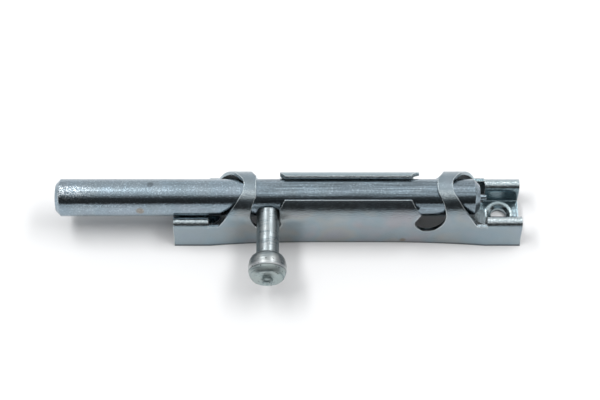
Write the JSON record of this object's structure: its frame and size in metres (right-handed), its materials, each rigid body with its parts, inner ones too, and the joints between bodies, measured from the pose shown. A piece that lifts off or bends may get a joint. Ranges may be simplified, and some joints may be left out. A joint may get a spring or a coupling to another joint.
{
  "type": "door bolt",
  "caption": "Round sliding door bolt in a folded sheet housing with arched straps, locking lobes and a turned knob handle.",
  "frame": {"origin": "middle of the housing on the door plane, halfway between the screw holes", "axes": "+X along the bolt toward its inner end, +Y away from the handle at rest, +Z away from the door"},
  "size_m": [0.1989, 0.0566, 0.0269],
  "materials": {
    "zinc_sheet": "zinc plated, satin",
    "zinc_bar": "zinc plated, drawn",
    "zinc_turned": "zinc plated, turned"
  },
  "bodies": {
    "housing": {"housing": "zinc_sheet"},
    "bolt": {"bolt_rod": "zinc_bar", "handle_pin": "zinc_turned"}
  },
  "joints": [
    {"name": "bolt_turn", "type": "hinge", "parent": "housing", "child": "bolt", "pos_m": [0, 0, 0.0167], "axis": [-1, 0, 0], "range_deg": [-8, 188]}
  ]
}
